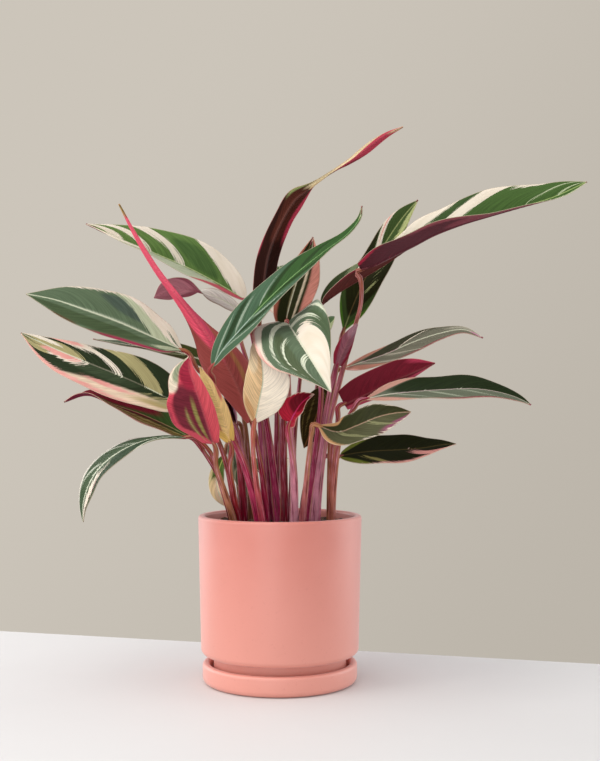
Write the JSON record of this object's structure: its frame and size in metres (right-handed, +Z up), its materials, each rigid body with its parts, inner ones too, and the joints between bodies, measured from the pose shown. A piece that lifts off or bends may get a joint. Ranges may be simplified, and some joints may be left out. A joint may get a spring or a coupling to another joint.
{
  "type": "potted stromanthe triostar plant",
  "caption": "Potted prayer plant: long pointed leaves, green, cream and pink above and crimson below, on slender stalks in a matte pink cylindrical pot on a saucer",
  "frame": {"origin": "on the pot's axis, in the flat underside of the saucer, where the object meets the surface it stands on", "axes": "+Z up along the pot's axis, +X to the right and +Y to the back as seen from the plant's front"},
  "size_m": [0.5396, 0.3606, 0.5544],
  "materials": {
    "pot_ceramic": "smooth matte coral pink",
    "soil": "dark moist potting mix of peat and bark",
    "stalk": "smooth fleshy crimson to pink skin",
    "leaf": "satin leaf skin, green with cream and pink patches above and crimson below"
  },
  "bodies": {
    "root": {"saucer": "pot_ceramic", "pot": "pot_ceramic", "soil": "soil", "stalks_left_inner": "stalk", "stalks_left_front": "stalk", "stalks_left": "stalk", "stalks_front_left": "stalk", "stalks_back_left": "stalk", "stalks_centre": "stalk", "stalks_centre_front": "stalk", "stalks_centre_left": "stalk", "stalks_right_tall": "stalk", "stalks_right": "stalk", "stalks_right_front": "stalk", "stalks_back_right": "stalk", "stalks_back": "stalk", "blade_upper_left": "leaf", "blade_pink_spear": "leaf", "blade_left_long": "leaf", "blade_left_pink_edge": "leaf", "blade_left_under": "leaf", "blade_front_left_red": "leaf", "blade_front_left_cream": "leaf", "blade_low_left": "leaf", "blade_low_left_cream": "leaf", "blade_hanging_green": "leaf", "blade_young_cup": "leaf", "blade_centre_long": "leaf", "blade_top_dark": "leaf", "blade_back_centre": "leaf", "blade_front_centre": "leaf", "blade_front_cream": "leaf", "blade_front_red": "leaf", "blade_right_upper": "leaf", "blade_right_long": "leaf", "blade_right_inner": "leaf", "blade_right_sheath": "leaf", "blade_right_grey": "leaf", "blade_right_crimson": "leaf", "blade_right_green": "leaf", "blade_right_small": "leaf", "blade_right_low": "leaf", "blade_hanging_dark": "leaf", "blade_left_inner": "leaf", "blade_left_curled": "leaf", "blade_back_left_high": "leaf", "blade_back_middle": "leaf", "blade_back_right_high": "leaf", "blade_back_low": "leaf"}
  },
  "joints": []
}
